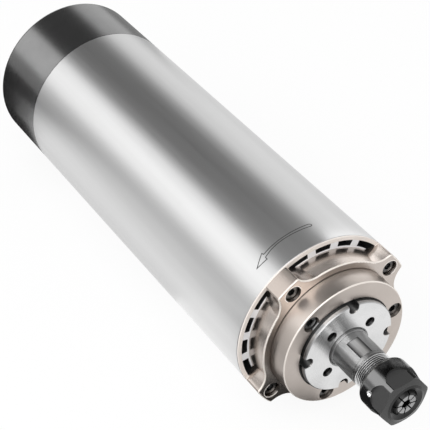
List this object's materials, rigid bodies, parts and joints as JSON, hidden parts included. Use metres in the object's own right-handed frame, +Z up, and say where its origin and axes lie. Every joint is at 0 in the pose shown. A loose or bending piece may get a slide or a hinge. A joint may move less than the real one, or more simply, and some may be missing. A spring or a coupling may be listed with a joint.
{
  "type": "motor spindle",
  "caption": "Air-cooled router spindle motor: tube body with rear fan cover, lugged vented front flange, bearing cap and a spring-collet nose with its hexagon nut.",
  "frame": {"origin": "on the spindle axis, at the middle of the clamped tube", "axes": "+X along the spindle axis towards the nose and collet, +Z up, +Y across"},
  "size_m": [0.2422, 0.065, 0.065],
  "materials": {
    "black_cover": "satin black moulded cover",
    "silver_sleeve": "lengthwise brushed tube",
    "frame_alloy": "black channels with machined ends",
    "champagne_alloy": "champagne anodised, fine blasted",
    "black_screws": "black oxide",
    "turned_cap": "face turned",
    "ground_steel": "ground",
    "black_nut": "black oxide, balanced",
    "collet_steel": "hardened and ground",
    "bearing_steel": "polished bearing steel",
    "cage_plastic": "brown cage resin",
    "lamination": "stacked sheet steel",
    "copper_winding": "varnished copper wire",
    "cast_alloy": "machined casting",
    "fan_plastic": "moulded",
    "spring_steel": "spring temper",
    "socket_metal": "nickel plated",
    "socket_insert": "black resin",
    "contact_metal": "gold flashed",
    "lead_jacket": "red silicone"
  },
  "bodies": {
    "motor_body": {"rear_cover": "black_cover", "cover_screws": "black_screws", "outer_sleeve": "silver_sleeve", "motor_frame": "frame_alloy", "front_flange": "champagne_alloy", "flange_screws": "black_screws", "bearing_housing": "champagne_alloy", "housing_screws": "black_screws", "bearing_cap": "turned_cap", "stator_core": "lamination", "stator_windings": "copper_winding", "bearing_spacer_outer": "ground_steel", "rear_plate": "cast_alloy", "rear_plate_screws": "black_screws", "wave_washer": "spring_steel", "connector_shell": "socket_metal", "connector_insert": "socket_insert", "connector_pins": "contact_metal", "connector_nut": "socket_metal", "motor_leads": "lead_jacket", "front_bearing_a_outer_race": "bearing_steel", "front_bearing_b_outer_race": "bearing_steel", "rear_bearing_outer_race": "bearing_steel"},
    "rotor": {"spindle_shaft": "ground_steel", "rotor_core": "lamination", "rotor_cage": "cast_alloy", "bearing_spacer_inner": "ground_steel", "bearing_lock_nut": "ground_steel", "cooling_fan": "fan_plastic", "fan_clip": "spring_steel", "front_bearing_a_inner_race": "bearing_steel", "front_bearing_b_inner_race": "bearing_steel", "rear_bearing_inner_race": "bearing_steel"},
    "front_ball_sets": {"front_bearing_a_balls": "bearing_steel", "front_bearing_a_cage": "cage_plastic", "front_bearing_b_balls": "bearing_steel", "front_bearing_b_cage": "cage_plastic"},
    "rear_ball_set": {"rear_bearing_balls": "bearing_steel", "rear_bearing_cage": "cage_plastic"},
    "collet": {"collet": "collet_steel"},
    "nut": {"collet_nut": "black_nut"}
  },
  "joints": [
    {"name": "spindle_spin", "type": "hinge", "parent": "motor_body", "child": "rotor", "pos_m": [0.0775, 0, 0], "axis": [1, 0, 0], "continuous": true},
    {"name": "front_balls_turn", "type": "hinge", "parent": "motor_body", "child": "front_ball_sets", "pos_m": [0.0775, 0, 0], "axis": [1, 0, 0], "continuous": true},
    {"name": "rear_balls_turn", "type": "hinge", "parent": "motor_body", "child": "rear_ball_set", "pos_m": [-0.07, 0, 0], "axis": [1, 0, 0], "continuous": true},
    {"name": "collet_draw", "type": "slide", "parent": "rotor", "child": "collet", "axis": [1, 0, 0], "range_m": [0, 0.0045]},
    {"name": "nut_turn", "type": "hinge", "parent": "collet", "child": "nut", "pos_m": [0.1185, 0, 0], "axis": [1, 0, 0], "range_deg": [0, 2161]}
  ],
  "couplings": [
    {"joint": "front_balls_turn", "follows": "spindle_spin", "ratio": 0.3987},
    {"joint": "rear_balls_turn", "follows": "spindle_spin", "ratio": 0.388},
    {"joint": "nut_turn", "follows": "collet_draw", "rad_per_m": 8377.6}
  ]
}
